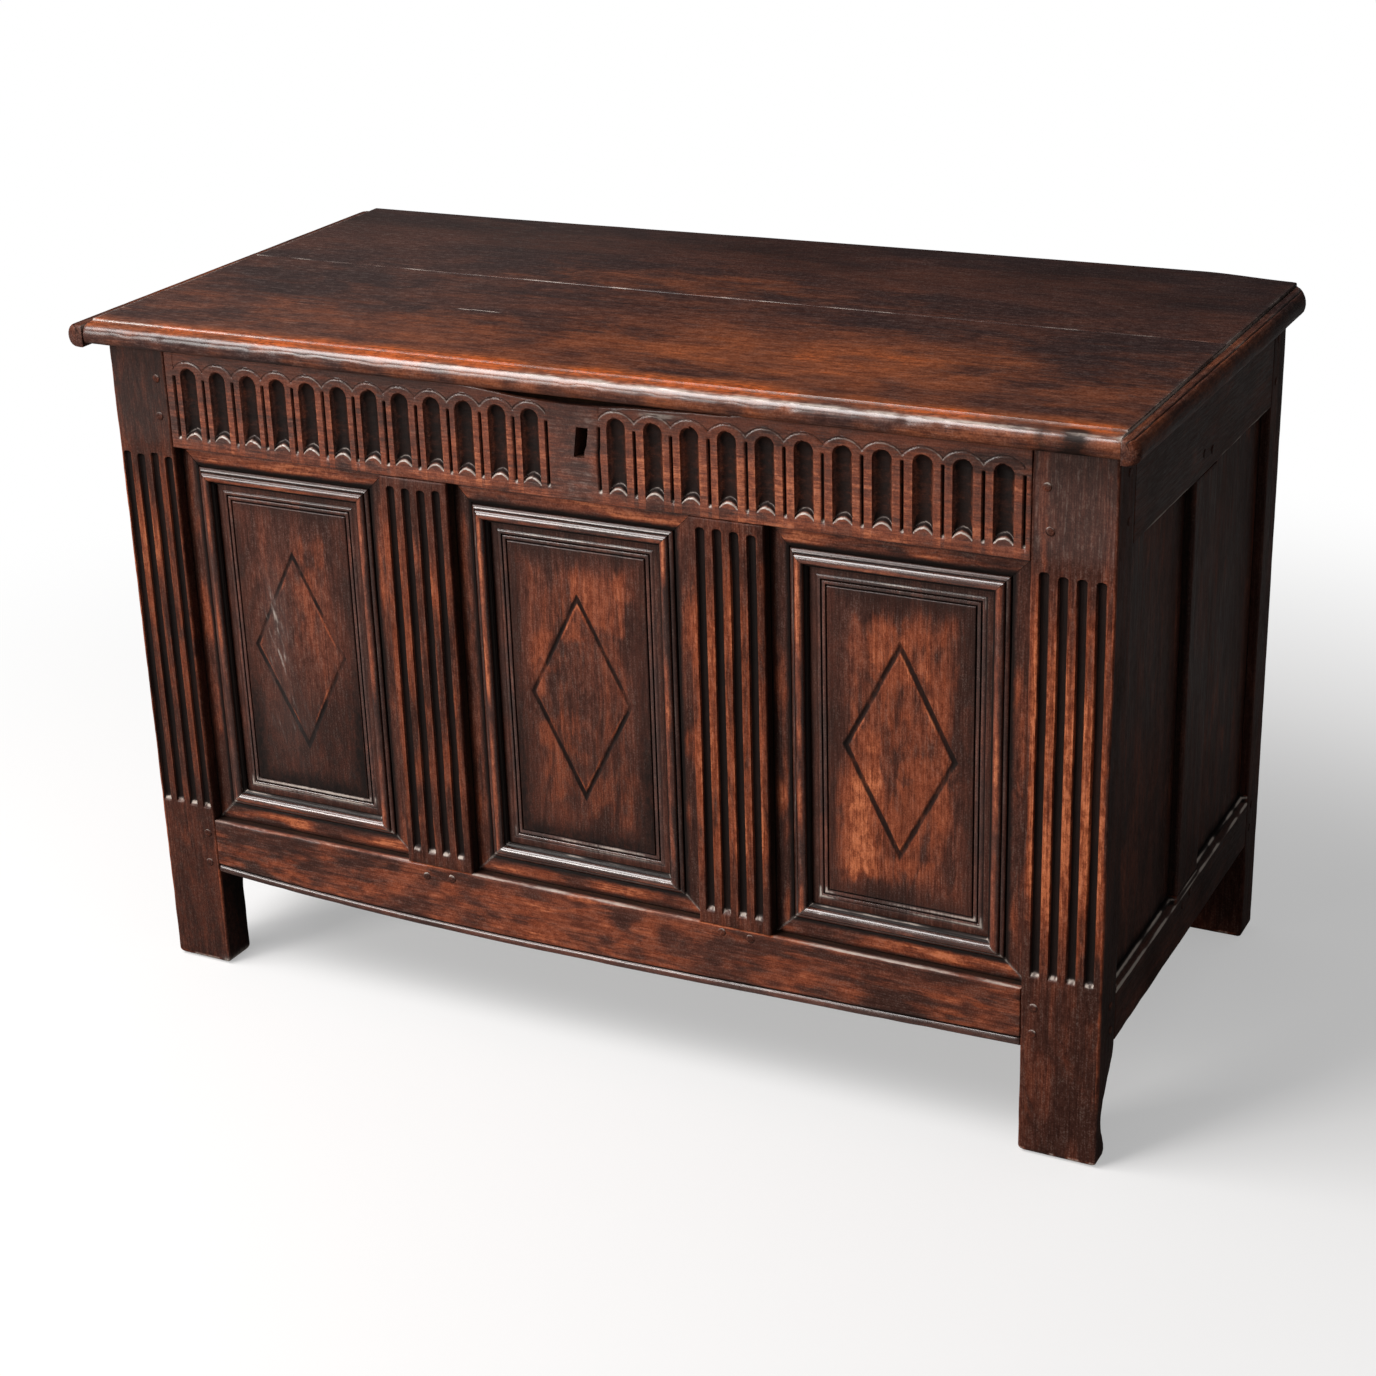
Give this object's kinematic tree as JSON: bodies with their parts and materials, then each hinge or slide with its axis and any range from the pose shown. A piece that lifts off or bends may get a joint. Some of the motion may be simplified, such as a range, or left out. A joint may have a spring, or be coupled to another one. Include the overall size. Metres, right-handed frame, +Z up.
{
  "type": "blanket chest",
  "caption": "Joined oak coffer with a hinged lid, panelled front with mitred mouldings and incised lozenges, fluted frieze with a keyhole, and post feet.",
  "frame": {"origin": "middle of the bounding box in plan, on the floor under the feet", "axes": "+X along the chest's length to the right as seen from its front, +Y from the front to the back, +Z up"},
  "size_m": [1.1356, 0.5892, 0.7397],
  "materials": {
    "oak_stained": "dark red-brown stain under worn wax polish",
    "oak_lid": "dark brown stain, waxed, worn paler at the front edge",
    "oak_plain": "unpolished, darkened by age",
    "iron": "black forged iron, slightly rusted"
  },
  "bodies": {
    "carcass": {"stile_front_left": "oak_stained", "stile_front_right": "oak_stained", "stile_back_left": "oak_stained", "stile_back_right": "oak_stained", "rail_frieze": "oak_stained", "rail_front_bottom": "oak_stained", "muntin_front_left": "oak_stained", "muntin_front_right": "oak_stained", "panel_front_left": "oak_stained", "panel_front_middle": "oak_stained", "panel_front_right": "oak_stained", "moulding_left_top": "oak_stained", "moulding_left_bottom": "oak_stained", "moulding_left_left": "oak_stained", "moulding_left_right": "oak_stained", "moulding_middle_top": "oak_stained", "moulding_middle_bottom": "oak_stained", "moulding_middle_left": "oak_stained", "moulding_middle_right": "oak_stained", "moulding_right_top": "oak_stained", "moulding_right_bottom": "oak_stained", "moulding_right_left": "oak_stained", "moulding_right_right": "oak_stained", "rail_left_top": "oak_stained", "rail_left_bottom": "oak_stained", "muntin_left": "oak_stained", "panel_left_back": "oak_stained", "panel_left_front": "oak_stained", "rail_right_top": "oak_stained", "rail_right_bottom": "oak_stained", "muntin_right": "oak_stained", "panel_right_back": "oak_stained", "panel_right_front": "oak_stained", "rail_back_top": "oak_plain", "rail_back_bottom": "oak_plain", "muntin_back_right": "oak_plain", "muntin_back_left": "oak_plain", "panel_back_right": "oak_plain", "panel_back_middle": "oak_plain", "panel_back_left": "oak_plain", "floor_board_1": "oak_plain", "floor_board_2": "oak_plain", "floor_board_3": "oak_plain", "floor_board_4": "oak_plain", "hinge_leaf_left": "iron", "hinge_pin_left": "iron", "hinge_leaf_right": "iron", "hinge_pin_right": "iron", "lock_plate": "iron", "lock_case": "iron"},
    "lock_bolt": {"lock_bolt": "iron"},
    "lid": {"lid_board_front": "oak_lid", "lid_board_back": "oak_lid", "lid_end_left": "oak_lid", "lid_end_right": "oak_lid", "hinge_strap_left": "iron", "hinge_strap_right": "iron", "lock_staple": "iron"}
  },
  "joints": [
    {"name": "lid_hinge", "type": "hinge", "parent": "carcass", "child": "lid", "pos_m": [0, 0.28865, 0.711], "axis": [-1, 0, 0], "range_deg": [0, 100]},
    {"name": "lock_bolt_slide", "type": "slide", "parent": "carcass", "child": "lock_bolt", "axis": [1, 0, 0], "range_m": [0, 0.011]}
  ]
}
